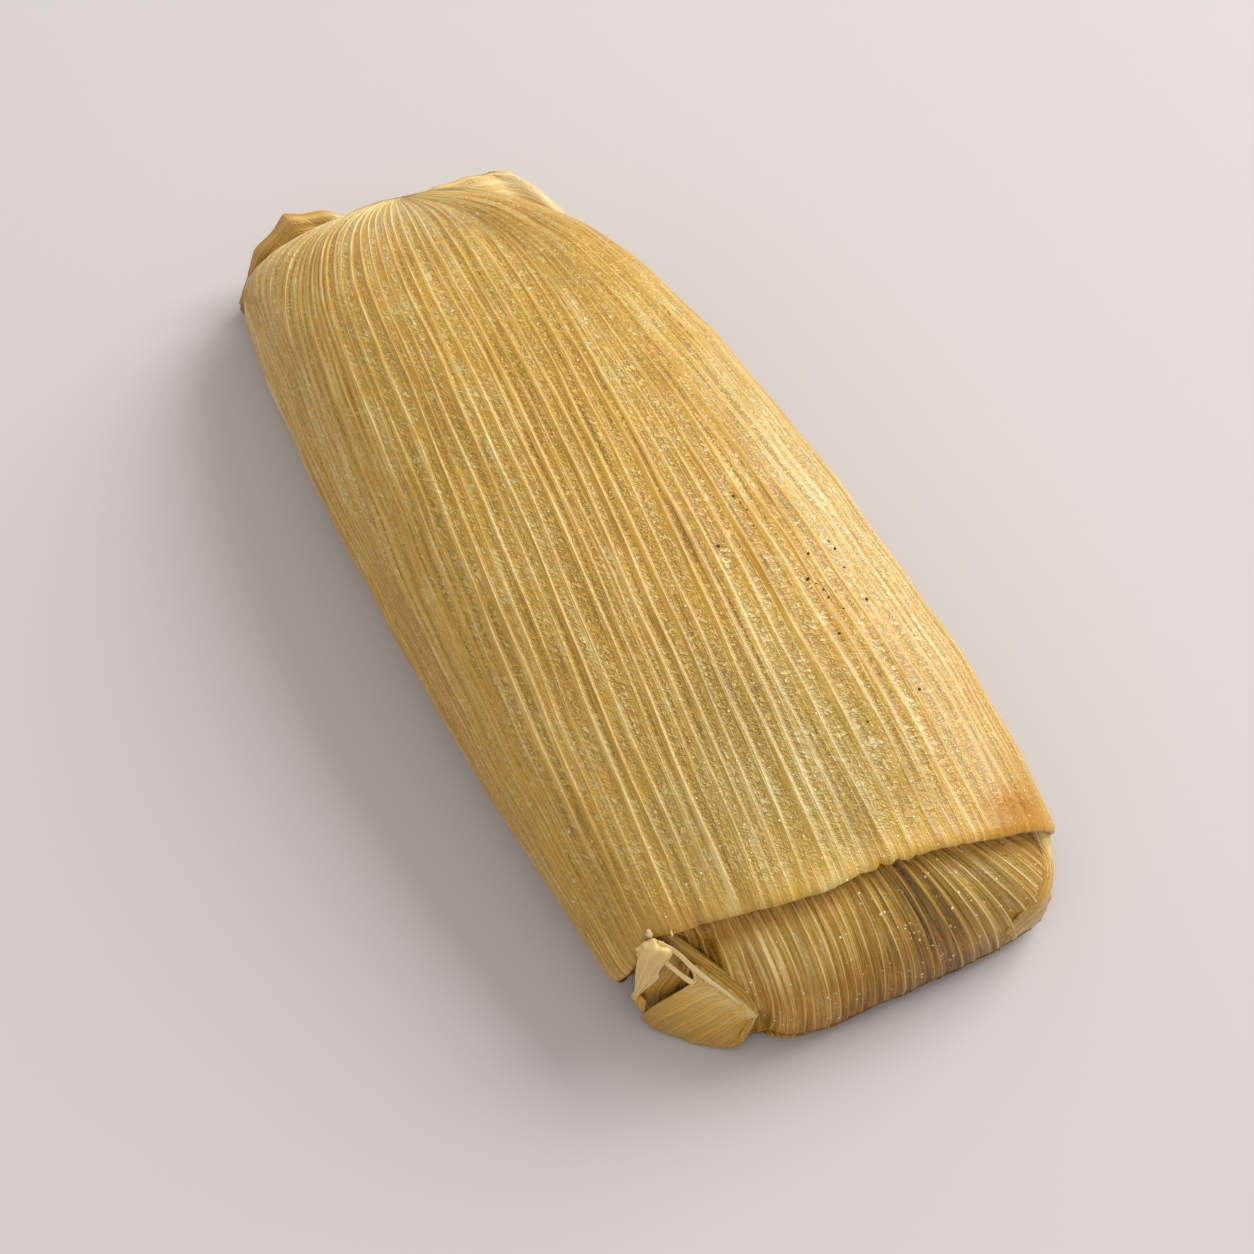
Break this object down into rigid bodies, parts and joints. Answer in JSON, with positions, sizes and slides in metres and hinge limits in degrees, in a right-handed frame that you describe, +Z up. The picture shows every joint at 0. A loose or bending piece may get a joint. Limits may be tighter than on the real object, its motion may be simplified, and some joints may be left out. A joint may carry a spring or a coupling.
{
  "type": "tamale",
  "caption": "Steamed corn husk tamale lying flat: a filled parcel in ribbed husk, gathered at one end and folded under at the other, with a small curled husk corner.",
  "frame": {"origin": "middle of the footprint, on the surface the tamale lies on", "axes": "+Y along the tamale's length, towards the gathered end; +X across it; +Z up"},
  "size_m": [0.0624, 0.148, 0.0312],
  "materials": {
    "steamed_husk": "satin",
    "wet_husk": "satin",
    "pale_husk": "satin",
    "folded_husk": "satin"
  },
  "bodies": {
    "root": {"outer_husk": "steamed_husk", "inner_parcel": "wet_husk", "corner_curl": "pale_husk", "end_fold": "folded_husk"}
  },
  "joints": []
}
